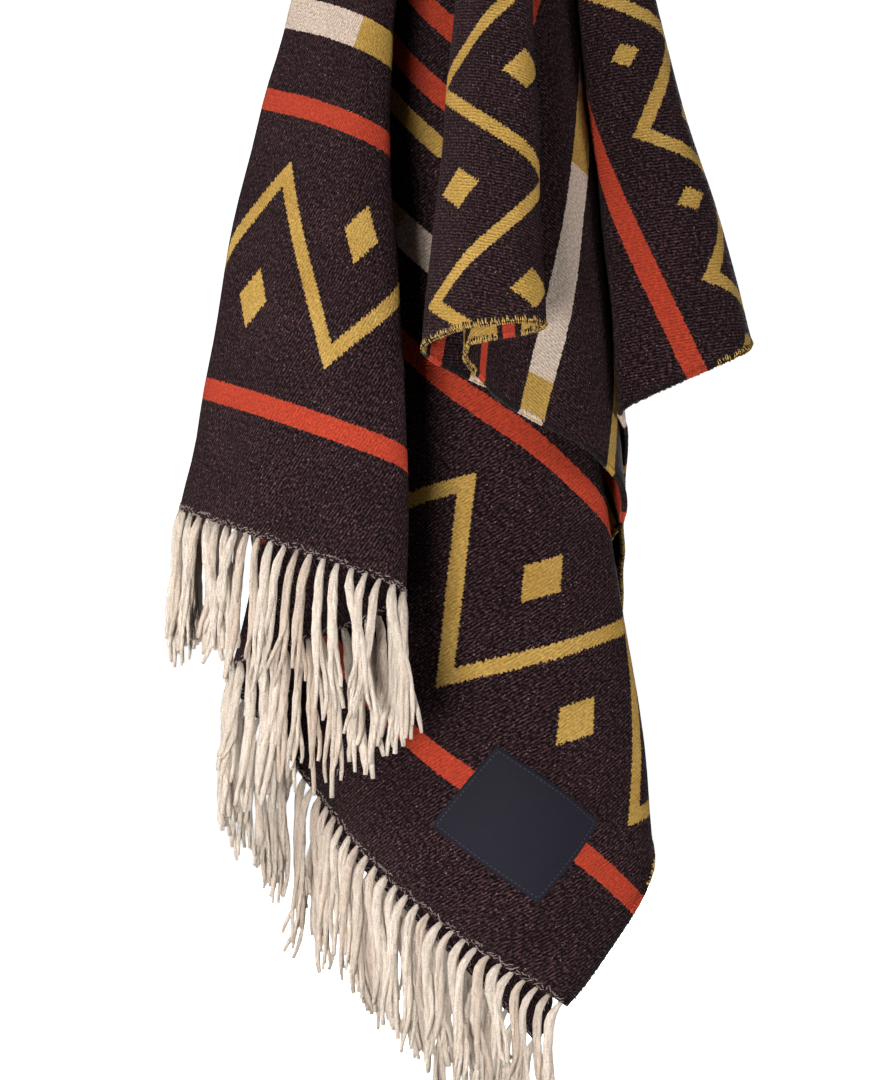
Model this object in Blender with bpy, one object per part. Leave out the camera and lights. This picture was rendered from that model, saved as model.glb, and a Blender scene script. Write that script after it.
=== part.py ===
"""A fringed wool throw that hangs in deep folds from its middle. Metres, +Z up.

The throw is one flat rectangle. It is held at a point near its middle, so it hangs as a
folded cone: every straight line on the cloth from the held point stays a straight line,
and only the angle between such lines is folded. FOLDS gives that folding. The front of
the throw faces -Y, and the held point is the origin.
"""
import math
import random
from collections import namedtuple

import bmesh
import bpy
from mathutils import Vector
from mathutils.geometry import tessellate_polygon

# The flat throw, measured from the held point
HALF_WIDTH = 0.762
FRONT_FRINGE_DISTANCE = 0.880
BACK_FRINGE_DISTANCE = 0.950

# The cloth
CLOTH_THICKNESS = 0.0024
THICKNESS_SHARE = 0.0065
TOP_HALF_SPREAD = 0.12
LEAN_DISTANCE = 0.54
EDGE_BOW = 0.022
FOLD_SOFTNESS = 1.3
SOFTNESS_SAMPLES = 9
WIDE_STEP = 1.4
CORNER_CLEARANCE = 0.7
TIGHTEST_BEND = 0.6
CENTRE_WEIGHT = 0.8
UPPER_LEVELS = (0.0, 0.05, 0.10, 0.17, 0.26, 0.40, 0.54)
LOWER_SHARES = (0.45, 1.0)

# The fringes
STRAND_LENGTH = 0.080
FRONT_PITCH = 0.0086
BACK_PITCH = 0.0150
STRIP_GAP = 0.0006
STRIP_HEIGHT = 0.0030
STRIP_THICKNESS = 0.0020
STRAND_WIDTH = 0.0052
STRAND_DEPTH = 0.0030
DEEPEST_SHARE = 1.5
STRAND_FILL = 0.72
KNEE_SHARE = 0.28
TIP_TAPER = 0.45
LENGTH_SWING = 0.10
SIDE_SWING = 0.0012
FRONT_SEED = 3
BACK_SEED = 7

# The sewn label, on the flat throw's own axes. Its slips turn its two edges a little, so
# that it is square where it lies on the folded cloth.
LABEL_ALONG = 0.6887
LABEL_ACROSS = 0.8071
LABEL_LENGTH = 0.0725
LABEL_HEIGHT = 0.0600
LABEL_SLIP_ALONG = 0.0080
LABEL_SLIP_ACROSS = 0.0042
LABEL_THICKNESS = 0.0008
LABEL_GAP = 0.0008
LABEL_COLUMNS = 10
LABEL_ROWS = 6

# Finishes, as linear colours
WOOL_COLOUR = (0.045, 0.028, 0.033)
WOOL_ROUGHNESS = 0.95
FRINGE_COLOUR = (0.76, 0.68, 0.61)
FRINGE_ROUGHNESS = 0.92
LABEL_COLOUR = (0.018, 0.018, 0.030)
LABEL_ROUGHNESS = 0.80

# One row a fold. angle: degrees on the flat throw, from the line that meets the front
# fringe squarely. right and back: how far that line runs right and back for each metre
# of cloth. lean: how much further right it starts, above the view's middle.
Fold = namedtuple("Fold", "angle right back lean")
FOLDS = (
    # Front left panel
    Fold(3.0, -0.223, -0.030, 0.0),
    Fold(6.0, -0.223, -0.075, 0.0),
    Fold(10.5, -0.172, -0.128, 0.0),
    Fold(14.4, -0.106, -0.150, -0.020),
    Fold(17.3, -0.050, -0.146, -0.045),
    # Second layer, which turns back behind it
    Fold(18.8, -0.056, -0.120, -0.045),
    Fold(25.0, -0.164, -0.040, 0.0),
    Fold(26.6, -0.166, -0.014, 0.0),
    # Long panel with the low corner and the label
    Fold(31.7, -0.117, 0.036, 0.0),
    Fold(35.7, -0.071, -0.012, 0.0),
    Fold(38.2, -0.032, -0.030, 0.0),
    Fold(40.2, 0.0115, -0.037, 0.0),
    Fold(41.7, 0.050, -0.034, -0.010),
    Fold(44.9, 0.099, -0.008, -0.016),
    # Its back, and the way round its right edge to the front
    Fold(46.4, 0.100, 0.015, -0.016),
    Fold(51.5, 0.020, 0.034, 0.0),
    Fold(56.0, -0.048, 0.058, 0.0),
    Fold(57.5, -0.048, 0.080, 0.0),
    Fold(64.0, 0.070, 0.044, 0.0),
    Fold(65.8, 0.100, 0.024, 0.0),
    Fold(67.4, 0.100, -0.016, 0.0),
    Fold(72.5, 0.040, -0.078, 0.0),
    # Middle ridge, nearest the viewer
    Fold(79.6, -0.052, -0.145, 0.026),
    Fold(81.2, -0.055, -0.172, 0.026),
    Fold(85.0, -0.018, -0.206, 0.020),
    Fold(88.4, 0.034, -0.210, 0.012),
    Fold(90.4, 0.050, -0.192, 0.010),
    Fold(92.2, 0.040, -0.172, 0.008),
    Fold(98.0, -0.018, -0.172, 0.014),
    # Narrow panel to the right of the ridge
    Fold(100.8, -0.020, -0.148, 0.014),
    Fold(106.5, 0.006, -0.128, 0.006),
    Fold(109.0, 0.034, -0.108, 0.0),
    Fold(112.0, 0.078, -0.074, 0.0),
    Fold(114.2, 0.096, -0.046, 0.0),
    Fold(115.8, 0.107, -0.020, 0.004),
    Fold(118.6, 0.107, 0.030, 0.004),
    Fold(121.0, 0.084, 0.068, 0.0),
    # Folds that only show from below
    Fold(130.0, -0.070, 0.098, 0.0),
    Fold(131.5, -0.070, 0.118, 0.0),
    Fold(138.4, 0.038, 0.120, 0.0),
    Fold(139.4, 0.044, 0.136, 0.0),
    Fold(142.4, 0.004, 0.138, 0.0),
    Fold(150.8, -0.103, 0.141, 0.0),
    Fold(152.4, -0.103, 0.161, 0.0),
    Fold(171.0, 0.080, 0.146, 0.0),
    Fold(172.5, 0.080, 0.166, 0.0),
    Fold(184.0, -0.085, 0.174, 0.0),
    Fold(185.5, -0.085, 0.194, 0.0),
    Fold(197.0, 0.078, 0.186, 0.0),
    Fold(198.5, 0.078, 0.206, 0.0),
    Fold(210.0, -0.062, 0.214, 0.0),
    Fold(211.5, -0.062, 0.234, 0.0),
    Fold(219.0, 0.006, 0.230, 0.0),
    Fold(232.0, 0.096, 0.222, 0.0),
    Fold(246.3, 0.114, 0.060, 0.008),
    Fold(250.6, 0.113, -0.012, 0.008),
    # Right panel
    Fold(252.4, 0.106, -0.042, 0.006),
    Fold(255.5, 0.164, -0.056, -0.010),
    Fold(258.6, 0.220, -0.034, -0.022),
    Fold(260.6, 0.228, 0.004, -0.022),
    # Right side and back, in broad flutes
    Fold(266.0, 0.216, 0.082, -0.018),
    Fold(268.0, 0.196, 0.086, -0.012),
    Fold(272.5, 0.158, 0.036, 0.0),
    Fold(274.5, 0.140, 0.056, 0.0),
    Fold(281.0, 0.192, 0.132, 0.0),
    Fold(283.0, 0.178, 0.154, 0.0),
    Fold(287.0, 0.128, 0.134, 0.0),
    Fold(289.0, 0.116, 0.162, 0.0),
    Fold(295.0, 0.100, 0.258, 0.0),
    Fold(298.0, 0.088, 0.300, 0.0),
    Fold(300.0, 0.069, 0.302, 0.0),
    Fold(304.0, 0.060, 0.254, 0.0),
    Fold(306.5, 0.040, 0.256, 0.0),
    Fold(311.0, 0.039, 0.322, 0.0),
    Fold(313.5, 0.015, 0.326, 0.0),
    Fold(318.6, 0.010, 0.270, 0.0),
    Fold(321.8, -0.019, 0.270, 0.0),
    Fold(326.6, -0.034, 0.322, 0.0),
    Fold(329.8, -0.064, 0.312, 0.0),
    Fold(334.6, -0.080, 0.250, 0.0),
    Fold(338.4, -0.112, 0.240, 0.0),
    Fold(343.0, -0.146, 0.276, 0.0),
    Fold(346.0, -0.172, 0.250, 0.0),
    Fold(350.0, -0.132, 0.186, 0.0),
    Fold(352.0, -0.146, 0.160, 0.0),
    Fold(356.0, -0.206, 0.148, 0.0),
    Fold(358.0, -0.222, 0.110, 0.0),
)

FULL_TURN = 360.0
EDGE_PASSES = 6
SIDE_EDGE_SINE = 0.5
TINY = 1e-6
TURN_STEP = 0.5


def clear_scene():
    """Start from an empty scene."""
    for thing in list(bpy.data.objects):
        bpy.data.objects.remove(thing, do_unlink=True)


def cloth_material(name, colour, roughness):
    """A plain finish for one sub-part."""
    finish = bpy.data.materials.new(name)
    finish.use_nodes = True
    shader = finish.node_tree.nodes["Principled BSDF"]
    shader.inputs["Base Color"].default_value = (*colour, 1.0)
    shader.inputs["Roughness"].default_value = roughness
    shader.inputs["Metallic"].default_value = 0.0
    return finish


def add_object(name, mesh_parts, finish):
    """Put a finished bmesh in the scene as one named object."""
    bmesh.ops.recalc_face_normals(mesh_parts, faces=mesh_parts.faces)
    mesh = bpy.data.meshes.new(name)
    mesh_parts.to_mesh(mesh)
    mesh_parts.free()
    mesh.materials.append(finish)
    piece = bpy.data.objects.new(name, mesh)
    bpy.context.scene.collection.objects.link(piece)
    return piece


def half_width(along):
    """Half of the throw's width, which draws in a little between the fringed edges."""
    return HALF_WIDTH + EDGE_BOW * (along / FRONT_FRINGE_DISTANCE) ** 2


def corner_angle(fringe_distance):
    """Angle between a fringed edge's square line and its corner."""
    return math.degrees(math.atan2(half_width(fringe_distance), fringe_distance))


def edge_distance(angle):
    """Distance on the flat throw from the held point to the cut edge, at one angle."""
    across = abs(math.sin(math.radians(angle)))
    along = math.cos(math.radians(angle))
    fringe = FRONT_FRINGE_DISTANCE if along > 0.0 else BACK_FRINGE_DISTANCE
    reach = fringe / max(abs(along), TINY)
    if across > SIDE_EDGE_SINE:
        side = HALF_WIDTH / across
        for _ in range(EDGE_PASSES):
            side = half_width(side * along) / across
        reach = min(reach, side)
    return reach


def sharp_section(angle, leaning):
    """The fold table read as straight runs, before the folds are softened."""
    angle = angle % FULL_TURN
    if angle < FOLDS[0].angle:
        angle += FULL_TURN
    closed = FOLDS + (FOLDS[0]._replace(angle=FOLDS[0].angle + FULL_TURN),)
    for here, after in zip(closed, closed[1:]):
        if angle <= after.angle:
            break
    share = (angle - here.angle) / (after.angle - here.angle)
    start = Vector((here.right + leaning * here.lean, here.back))
    end = Vector((after.right + leaning * after.lean, after.back))
    return start.lerp(end, share)


def section(angle, leaning):
    """The folded direction at one angle: right and back for each metre of cloth."""
    total = Vector((0.0, 0.0))
    weight_sum = 0.0
    for sample in range(SOFTNESS_SAMPLES):
        offset = 2.0 * sample / (SOFTNESS_SAMPLES - 1) - 1.0
        weight = 1.0 - CENTRE_WEIGHT * abs(offset)
        total += weight * sharp_section(angle + offset * FOLD_SOFTNESS, leaning)
        weight_sum += weight
    return total / weight_sum


def lean_share(distance, reach):
    """How much of the lean applies: all of it high up, none at the cut edge."""
    share = (reach - distance) / (reach - LEAN_DISTANCE)
    share = min(1.0, max(0.0, share))
    return share * share * (3.0 - 2.0 * share)


def spread(distance):
    """How wide the folds are spread: as a cone, with a blunt gathered top."""
    return (distance ** 4 + TOP_HALF_SPREAD ** 4) ** 0.25


def half_thickness(distance):
    """Half of the cloth's thickness, drawn in where the folds crowd at the top."""
    return 0.5 * min(CLOTH_THICKNESS, THICKNESS_SHARE * spread(distance))


FRONT_RIGHT_CORNER = corner_angle(FRONT_FRINGE_DISTANCE)
BACK_RIGHT_CORNER = 180.0 - corner_angle(BACK_FRINGE_DISTANCE)
BACK_LEFT_CORNER = FULL_TURN - BACK_RIGHT_CORNER
FRONT_LEFT_CORNER = FULL_TURN - FRONT_RIGHT_CORNER


def column_angles():
    """The angles of the cloth's columns: every fold, the corners and wide middles."""
    angles = {round(fold.angle, 3) for fold in FOLDS}
    rows = [fold.angle for fold in FOLDS] + [FOLDS[0].angle + FULL_TURN]
    for low, high in zip(rows, rows[1:]):
        if high - low > WIDE_STEP:
            angles.add(round(0.5 * (low + high) % FULL_TURN, 3))
    for corner in (FRONT_RIGHT_CORNER, BACK_RIGHT_CORNER, BACK_LEFT_CORNER, FRONT_LEFT_CORNER):
        angles = {angle for angle in angles if abs(angle - corner) > CORNER_CLEARANCE}
        angles.add(corner)
    return sorted(angles)


COLUMNS = column_angles()


def column_distances(index):
    """Distances from the held point at which a column has its points."""
    reach = edge_distance(COLUMNS[index])
    top = UPPER_LEVELS[-1]
    return UPPER_LEVELS + tuple(top + share * (reach - top) for share in LOWER_SHARES)


def outward(index, share):
    """The outward direction at a column, lengthened so that a bend keeps its thickness."""
    before = section(COLUMNS[index - 1], share)
    here = section(COLUMNS[index], share)
    after = section(COLUMNS[(index + 1) % len(COLUMNS)], share)
    first = (here - before).normalized()
    second = (after - here).normalized()
    middle = (first + second).normalized()
    bend = max(TIGHTEST_BEND, middle.dot(first))
    return Vector((middle.y, -middle.x)) / bend


def cloth_point(index, distance, side):
    """A point on the cloth: side 1 is its outer face, -1 its inner face."""
    share = lean_share(distance, edge_distance(COLUMNS[index]))
    folded = section(COLUMNS[index], share)
    shift = outward(index, share) * half_thickness(distance) * side
    wide = spread(distance)
    drop = distance * math.sqrt(1.0 - folded.length_squared)
    return Vector((folded.x * wide + shift.x, folded.y * wide + shift.y, -drop))


def build_cloth(finish):
    """The folded sheet: two faces, the rim at its cut edges and the gathered top."""
    parts = bmesh.new()
    rings = []
    for side in (1, -1):
        columns = []
        for index in range(len(COLUMNS)):
            points = [cloth_point(index, distance, side) for distance in column_distances(index)]
            if side < 0:
                points[0].z = -CLOTH_THICKNESS
            columns.append([parts.verts.new(point) for point in points])
        rings.append(columns)
    outer, inner = rings
    for index in range(len(COLUMNS)):
        after = (index + 1) % len(COLUMNS)
        for face in (outer, inner):
            for level in range(len(face[index]) - 1):
                parts.faces.new((face[index][level], face[after][level],
                                 face[after][level + 1], face[index][level + 1]))
        parts.faces.new((outer[index][-1], outer[after][-1],
                         inner[after][-1], inner[index][-1]))
    for face in rings:
        ring = [column[0] for column in face]
        for corners in tessellate_polygon([[vert.co for vert in ring]]):
            parts.faces.new([ring[corner] for corner in corners])
    return add_object("throw_cloth", parts, finish)


def hem_frame(index):
    """At a column's cut edge: the rim's middle, half its thickness and the way out of it."""
    angle = COLUMNS[index]
    reach = edge_distance(angle)
    outer = cloth_point(index, reach, 1)
    inner = cloth_point(index, reach, -1)
    here = section(angle, 0.0)
    turn = section(angle + TURN_STEP, 0.0) - section(angle - TURN_STEP, 0.0)
    outwards = Vector((here.x, here.y, -math.sqrt(1.0 - here.length_squared)))
    around = Vector((turn.x, turn.y, 0.0)) / math.radians(2.0 * TURN_STEP)
    along = math.cos(math.radians(angle))
    across = math.sin(math.radians(angle))
    square = outwards * along - around * across
    if along < 0.0:
        square.negate()
    return (outer + inner) / 2.0, (outer - inner) / 2.0, square.normalized()


def strip_frames(first_corner, last_corner, pitch):
    """Frames along one fringed edge, one between every two strands."""
    span = (last_corner - first_corner) % FULL_TURN
    indices = [index for index in range(len(COLUMNS))
               if (COLUMNS[index] - first_corner) % FULL_TURN <= span + TINY]
    indices.sort(key=lambda index: (COLUMNS[index] - first_corner) % FULL_TURN)
    frames = [hem_frame(indices[0])]
    for here, after in zip(indices, indices[1:]):
        start, end = hem_frame(here), hem_frame(after)
        count = max(1, round((end[0] - start[0]).length / pitch))
        for step in range(1, count + 1):
            share = step / count
            frames.append(tuple(a.lerp(b, share) for a, b in zip(start, end)))
    return frames


def strand_ring(parts, centre, along, across, width, depth):
    """Four points around a strand, in the order of its root."""
    corners = ((-1, 1), (-1, -1), (1, -1), (1, 1))
    return [parts.verts.new(centre + along * (0.5 * width * a) + across * (0.5 * depth * b))
            for a, b in corners]


def join_rings(parts, upper, lower):
    """Close the four sides between two rings."""
    for corner in range(4):
        after = (corner + 1) % 4
        parts.faces.new((upper[corner], upper[after], lower[after], lower[corner]))


def hang_strand(parts, root, square, chance):
    """One strand: square to the edge at its root, then straight down to a thin tip."""
    centre = sum((vert.co for vert in root), Vector()) / 4.0
    step = (root[2].co + root[3].co - root[0].co - root[1].co) / 2.0
    along = Vector((step.x, step.y, 0.0))
    width = min(STRAND_WIDTH, STRAND_FILL * along.length)
    along.normalize()
    across = root[0].co - root[1].co
    across -= along * across.dot(along)
    across.z = 0.0
    across.normalize()
    depth = min(STRAND_DEPTH, DEEPEST_SHARE * width)
    length = STRAND_LENGTH * (1.0 + chance.uniform(-LENGTH_SWING, LENGTH_SWING))
    down = Vector((0.0, 0.0, -1.0))
    knee = centre + (square + down) * (0.5 * KNEE_SHARE * length)
    tip = knee + down * ((1.0 - KNEE_SHARE) * length)
    tip += along * chance.uniform(-SIDE_SWING, SIDE_SWING) * width / STRAND_WIDTH
    bend = strand_ring(parts, knee, along, across, width, depth)
    end = strand_ring(parts, tip, along, across, width * TIP_TAPER, depth * TIP_TAPER)
    join_rings(parts, root, bend)
    join_rings(parts, bend, end)
    parts.faces.new(end)


def build_fringe(name, first_corner, last_corner, pitch, seed, finish):
    """A narrow strip just under the cut edge, with the strands that hang from it."""
    parts = bmesh.new()
    chance = random.Random(seed)
    posts = []
    for middle, half, square in strip_frames(first_corner, last_corner, pitch):
        thick = half.normalized() * (0.5 * STRIP_THICKNESS)
        top = middle + square * STRIP_GAP
        bottom = top + square * STRIP_HEIGHT
        places = (top + thick, top - thick, bottom + thick, bottom - thick)
        posts.append(([parts.verts.new(place) for place in places], square))
    for (here, square), (after, _) in zip(posts, posts[1:]):
        parts.faces.new((here[0], after[0], after[1], here[1]))
        parts.faces.new((here[0], here[2], after[2], after[0]))
        parts.faces.new((here[1], after[1], after[3], here[3]))
        root = [here[2], here[3], after[3], after[2]]
        hang_strand(parts, root, square, chance)
    for post, _ in (posts[0], posts[-1]):
        parts.faces.new((post[0], post[1], post[3], post[2]))
    return add_object(name, parts, finish)


def label_point(along, across, lift):
    """A point off the cloth's outer face, over one place on the flat throw."""
    angle = math.degrees(math.atan2(along, across))
    distance = math.hypot(along, across)
    after = next(index for index, column in enumerate(COLUMNS) if column > angle)
    share = (angle - COLUMNS[after - 1]) / (COLUMNS[after] - COLUMNS[after - 1])
    outer = cloth_point(after - 1, distance, 1).lerp(cloth_point(after, distance, 1), share)
    inner = cloth_point(after - 1, distance, -1).lerp(cloth_point(after, distance, -1), share)
    return outer + (outer - inner).normalized() * lift


def grid_border(grid):
    """The points round the outside of a grid, in order."""
    border = grid[0] + [line[-1] for line in grid[1:]]
    return border + grid[-1][-2::-1] + [line[0] for line in grid[-2:0:-1]]


def build_label(finish):
    """The rectangle sewn on the low corner: a thin plate that follows the cloth."""
    parts = bmesh.new()
    layers = []
    for lift in (LABEL_GAP, LABEL_GAP + LABEL_THICKNESS):
        grid = []
        for row in range(LABEL_ROWS + 1):
            rise = row / LABEL_ROWS - 0.5
            line = []
            for column in range(LABEL_COLUMNS + 1):
                run = column / LABEL_COLUMNS - 0.5
                along = LABEL_ALONG + LABEL_LENGTH * run + LABEL_SLIP_ALONG * rise
                across = LABEL_ACROSS + LABEL_HEIGHT * rise + LABEL_SLIP_ACROSS * run
                line.append(parts.verts.new(label_point(along, across, lift)))
            grid.append(line)
        layers.append(grid)
    for grid in layers:
        for low, high in zip(grid, grid[1:]):
            for column in range(LABEL_COLUMNS):
                parts.faces.new((low[column], low[column + 1],
                                 high[column + 1], high[column]))
    under, over = (grid_border(grid) for grid in layers)
    for place in range(len(under)):
        after = (place + 1) % len(under)
        parts.faces.new((under[place], under[after], over[after], over[place]))
    return add_object("sewn_label", parts, finish)


def build_throw():
    """Model the whole throw."""
    clear_scene()
    wool = cloth_material("dark_wool", WOOL_COLOUR, WOOL_ROUGHNESS)
    cream = cloth_material("cream_fringe", FRINGE_COLOUR, FRINGE_ROUGHNESS)
    navy = cloth_material("navy_label", LABEL_COLOUR, LABEL_ROUGHNESS)
    build_cloth(wool)
    build_fringe("front_fringe", FRONT_LEFT_CORNER, FRONT_RIGHT_CORNER,
                 FRONT_PITCH, FRONT_SEED, cream)
    build_fringe("back_fringe", BACK_RIGHT_CORNER, BACK_LEFT_CORNER,
                 BACK_PITCH, BACK_SEED, cream)
    build_label(navy)


build_throw()
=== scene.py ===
"""A fringed wool throw that hangs in deep folds from its middle, dressed over its CAD solids."""

import math
import random
from collections import namedtuple

import bpy
import numpy as np
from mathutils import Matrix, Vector
from mathutils.geometry import tessellate_polygon


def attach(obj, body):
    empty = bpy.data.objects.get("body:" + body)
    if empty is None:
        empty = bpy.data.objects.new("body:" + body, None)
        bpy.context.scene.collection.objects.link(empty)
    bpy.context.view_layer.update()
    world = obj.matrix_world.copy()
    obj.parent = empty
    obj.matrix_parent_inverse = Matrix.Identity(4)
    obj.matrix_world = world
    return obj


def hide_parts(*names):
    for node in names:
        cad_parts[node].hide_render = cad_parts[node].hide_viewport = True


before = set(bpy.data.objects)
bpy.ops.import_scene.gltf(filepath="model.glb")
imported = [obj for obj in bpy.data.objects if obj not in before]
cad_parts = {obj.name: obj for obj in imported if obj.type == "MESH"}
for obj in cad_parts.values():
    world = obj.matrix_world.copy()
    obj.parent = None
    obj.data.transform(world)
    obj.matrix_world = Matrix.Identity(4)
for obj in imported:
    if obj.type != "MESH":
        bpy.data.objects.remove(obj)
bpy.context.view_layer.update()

# The flat throw, measured from the held point
HALF_WIDTH = 0.762
FRONT_FRINGE_DISTANCE = 0.880
BACK_FRINGE_DISTANCE = 0.950
EDGE_BOW = 0.022

# The cloth
CLOTH_THICKNESS = 0.0022
THICKNESS_SHARE = 0.0060
TOP_HALF_SPREAD = 0.12
LEAN_DISTANCE = 0.54
FOLD_SOFTNESS = 1.3
SOFTNESS_SAMPLES = 9
CENTRE_WEIGHT = 0.8
COLUMN_STEP = 0.45
UPPER_LEVELS = (0.0, 0.03, 0.06, 0.09, 0.12, 0.15, 0.19, 0.23, 0.27, 0.31, 0.35, 0.39,
                0.43, 0.47, 0.51, 0.54)
LOWER_COUNT = 22
PROBE = 0.0015
TINY = 1e-6
FULL_TURN = 360.0
EDGE_PASSES = 6
SIDE_EDGE_SINE = 0.5

# Slow bends of space that every piece takes: each wave's direction, length, phase and push
Drift = namedtuple("Drift", "direction length phase push")
DRIFT_WAVES = (
    Drift((0.3, 0.2, 0.93), 0.46, 0.6, (0.0022, 0.0012, 0.0)),
    Drift((-0.5, 0.3, 0.81), 0.29, 2.1, (0.0014, -0.0016, 0.0)),
    Drift((0.6, -0.5, 0.62), 0.21, 4.0, (-0.0010, 0.0012, 0.0003)),
)

# Small waves off the cloth, by place on the flat throw
Ripple = namedtuple("Ripple", "turn length phase height")
RIPPLES = (
    Ripple(0.25, 0.118, 0.4, 0.00042),
    Ripple(1.31, 0.087, 1.9, 0.00034),
    Ripple(2.25, 0.061, 5.1, 0.00022),
)
RIPPLE_BEND = 0.012
RIPPLE_BEND_LENGTH = 0.31
RIPPLE_START = 0.5

# The fringes: thick soft strands of a few plies
BUNCH_PITCH = 0.0093
FIRST_BUNCH = 0.0040
FINE_PLACES = 6001
BUNCH_LENGTH = 0.083
LENGTH_SWING = 0.12
SWAY = 0.0042
SWAY_POWER = 1.3
STRAY_SHARE = 0.20
STRAY_LOW = 0.008
STRAY_HIGH = 0.024
Clump = namedtuple("Clump", "length phase push")
CLUMPS = (Clump(0.071, 0.8, 0.0030), Clump(0.039, 2.9, 0.0026))
LIFT = 0.0018
KNEE = 0.022
KNEE_SWING = (0.8, 1.2)
ROOT_DEPTH = 0.0008
WOBBLE = 0.0019
WOBBLE_TURNS = (4.0, 9.0)
PLY_RINGS = 16
PLY_SIDES = 6
PLY_COUNTS = (3, 4, 4)
PLY_SIZES = (0.00150, 0.00220)
PLY_OFFSETS = (0.00105, 0.00165)
SWELL = 0.16
PLY_TURN = 4.0
FLATTEN = 0.8
FORKS = (0.0006, 0.0044)
FORK_START = 0.42
TIP_SPREAD = 0.013
TAPERS = (0.10, 0.40)
TAPER_START = 0.45
TIP_SHARE = 0.8
ROOT_NECK = 0.58
ROOT_CLOSE = 0.5
ROOT_SHARE = 0.12
BUMPS = (0.86, 1.14)
HAIRS = 14
HAIR_RISE = (0.0004, 0.0014)
HAIR_DROP = (0.0015, 0.0045)
HAIR_RADIUS = 0.00013
HAIR_SIDES = 3
HAIR_FOOT = 0.7
HAIR_SHADE = 0.5
LEVEL = np.array([1.0, 1.0, 0.0])
DOWN = np.array([0.0, 0.0, -1.0])
FRONT_SEED = 11
BACK_SEED = 12

# The pale stitches at the fringe roots and the yarn loops on the side edges
THREAD_SIDES = 4
THREAD_TURN = 0.4
ROOT_PITCH = 0.00115
ROOT_INSETS = (0.0002, 0.0042)
ROOT_LENGTHS = (0.0014, 0.0030)
ROOT_TURN = 1.0
ROOT_RADIUS = 0.00033
ROOT_SIZES = (0.7, 1.2)
ROOT_KNEE = 0.4
ROOT_PROUD = 0.7
# The root stitches' run lies past the painted root shade, so they take none of it
ROOT_RUN = 0.02
STITCH_SEED = 5
LOOP_PITCH = 0.00085
LOOP_REACH = 0.0034
LOOP_REACHES = (0.6, 1.3)
LOOP_SLANT = 0.0006
LOOP_SLANT_SWING = 0.0007
LOOP_PROUD = (0.0001, 0.0009)
LOOP_RADIUS = 0.00046
LOOP_SIZES = (0.8, 1.2)
LOOP_LIFT = 0.6
LOOP_KNEE = 0.4
LOOP_KNEE_RISE = 1.1
LOOP_END_RISE = 0.6
PALE_LOOPS = 0.9
LOOP_SEED = 6

# The label, on the flat throw's own axes
LABEL_ALONG = 0.6887
LABEL_ACROSS = 0.8071
LABEL_LENGTH = 0.0725
LABEL_HEIGHT = 0.0600
LABEL_SLIP_ALONG = 0.0080
LABEL_SLIP_ACROSS = 0.0042
LABEL_COLUMNS = 53
LABEL_ROWS = 41
LABEL_THICKNESS = 0.0009
LABEL_SINK = 0.0002
LABEL_SEAM = 0.0022
LABEL_SEAM_WIDTH = 0.0007
LABEL_SEAM_DEPTH = 0.00035
LABEL_PUFF = 0.0005
LABEL_PUFF_REACH = 0.010
LABEL_STITCH_PITCH = 0.0026
LABEL_STITCH_RADIUS = 0.00028
LABEL_STITCH_SIDES = 5
LABEL_STITCH_SINK = 1.6
LABEL_STITCH_REACH = 0.36

# The woven stripes: middle and half width, by distance towards the front fringe
ORANGE_STRIPES = ((0.801, 0.007), (0.612, 0.007), (0.471, 0.007), (0.4345, 0.007),
                  (0.147, 0.007), (-0.060, 0.007), (-0.190, 0.007), (-0.410, 0.007),
                  (-0.620, 0.007))
CREAM_STRIPES = ((0.555, 0.0105), (0.190, 0.0105), (-0.262, 0.0105), (-0.745, 0.0105))
MUSTARD_STRIPES = ((0.497, 0.006), (-0.345, 0.006), (-0.690, 0.006))
BLOCK_PITCH = 0.200
BLOCK_LENGTH = 0.055
BLOCK_SHIFT = 0.065

# The bands of figures. middle and half: where the band lies. pitch, shift, rise and line:
# its zigzag, and half of that line's width. bay: how far its lozenges lie off the middle.
# spot: half of a lozenge's size.
Band = namedtuple("Band", "middle half pitch shift rise line bay spot_along spot_across")
BANDS = (
    Band(0.7065, 0.0800, 0.140, 0.030, 0.052, 0.0085, 0.030, 0.0130, 0.0200),
    Band(0.3100, 0.0900, 0.140, 0.105, 0.056, 0.0085, 0.030, 0.0130, 0.0200),
    Band(0.0435, 0.0900, 0.140, 0.030, 0.056, 0.0085, 0.030, 0.0130, 0.0200),
    Band(-0.1250, 0.0520, 0.100, 0.010, 0.030, 0.0070, 0.018, 0.0080, 0.0110),
    Band(-0.5150, 0.0900, 0.140, 0.030, 0.056, 0.0085, 0.030, 0.0130, 0.0200),
    Band(-0.8080, 0.0450, 0.100, 0.010, 0.026, 0.0070, 0.016, 0.0080, 0.0110),
)

# The weave
WEAVE_STEP = 0.0013
TWILL_PITCH = 0.0020
TWILL_SWAY = 6.0
TWILL_ALONG = 0.966
TWILL_ACROSS = 0.259
YARN_PITCH = 0.0023
RIB_SHARE = 0.28
YARN_SHARE = 0.06
GRAIN_DRAW = 0.5
FUZZ_SCALE = 780.0
FUZZ_RANGE = (0.37, 0.63)
WANDER_SCALE = 520.0
WANDER = 0.0030
SWAY_SCALE = 330.0
PATCH_SCALE = 26.0
PATCH_RANGE = (0.3, 0.7)
WEAVE_RANGE = (-0.2, 1.2)
GROUND_POWER = 2.8
DYED_LEVELS = (0.66, 1.36)

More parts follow.
